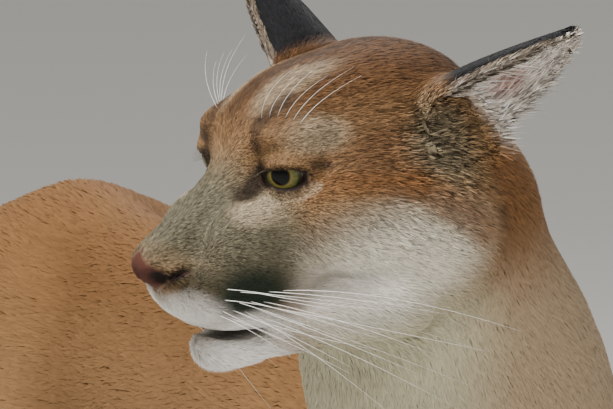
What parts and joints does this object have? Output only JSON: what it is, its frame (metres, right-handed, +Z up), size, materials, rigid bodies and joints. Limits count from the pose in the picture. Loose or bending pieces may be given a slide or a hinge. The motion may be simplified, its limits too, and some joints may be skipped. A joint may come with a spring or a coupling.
{
  "type": "cougar",
  "caption": "Life-size model of a tan cougar standing on all its paws, its head turned to its right, with a pale chin and throat and a long dark-tipped tail.",
  "frame": {"origin": "on the floor, under the middle of the whole animal", "axes": "+X from the tail to the chest, +Y to the animal's left, +Z up; the head looks towards -Y"},
  "size_m": [1.2946, 0.4834, 0.9603],
  "materials": {
    "coat": "short tawny fur",
    "pale_coat": "short whitish fur",
    "dark_coat": "dark brown fur",
    "nose_skin": "bare pinkish brown skin",
    "eye": "wet yellow-green eye",
    "whisker": "stiff pale whiskers"
  },
  "bodies": {
    "root": {"belly": "coat", "chest": "coat", "ear_left": "coat", "ear_right": "coat", "eye_left": "eye", "eye_right": "eye", "front_leg_lower_left": "coat", "front_leg_lower_right": "coat", "front_leg_upper_left": "coat", "front_leg_upper_right": "coat", "front_paw_left": "coat", "front_paw_right": "coat", "head": "coat", "hind_leg_lower_left": "coat", "hind_leg_lower_right": "coat", "hind_leg_upper_left": "coat", "hind_leg_upper_right": "coat", "hind_paw_left": "coat", "hind_paw_right": "coat", "hips": "coat", "lower_jaw": "pale_coat", "neck": "coat", "nose": "nose_skin", "tail_base": "coat", "tail_middle": "coat", "tail_tip": "dark_coat"}
  },
  "joints": []
}
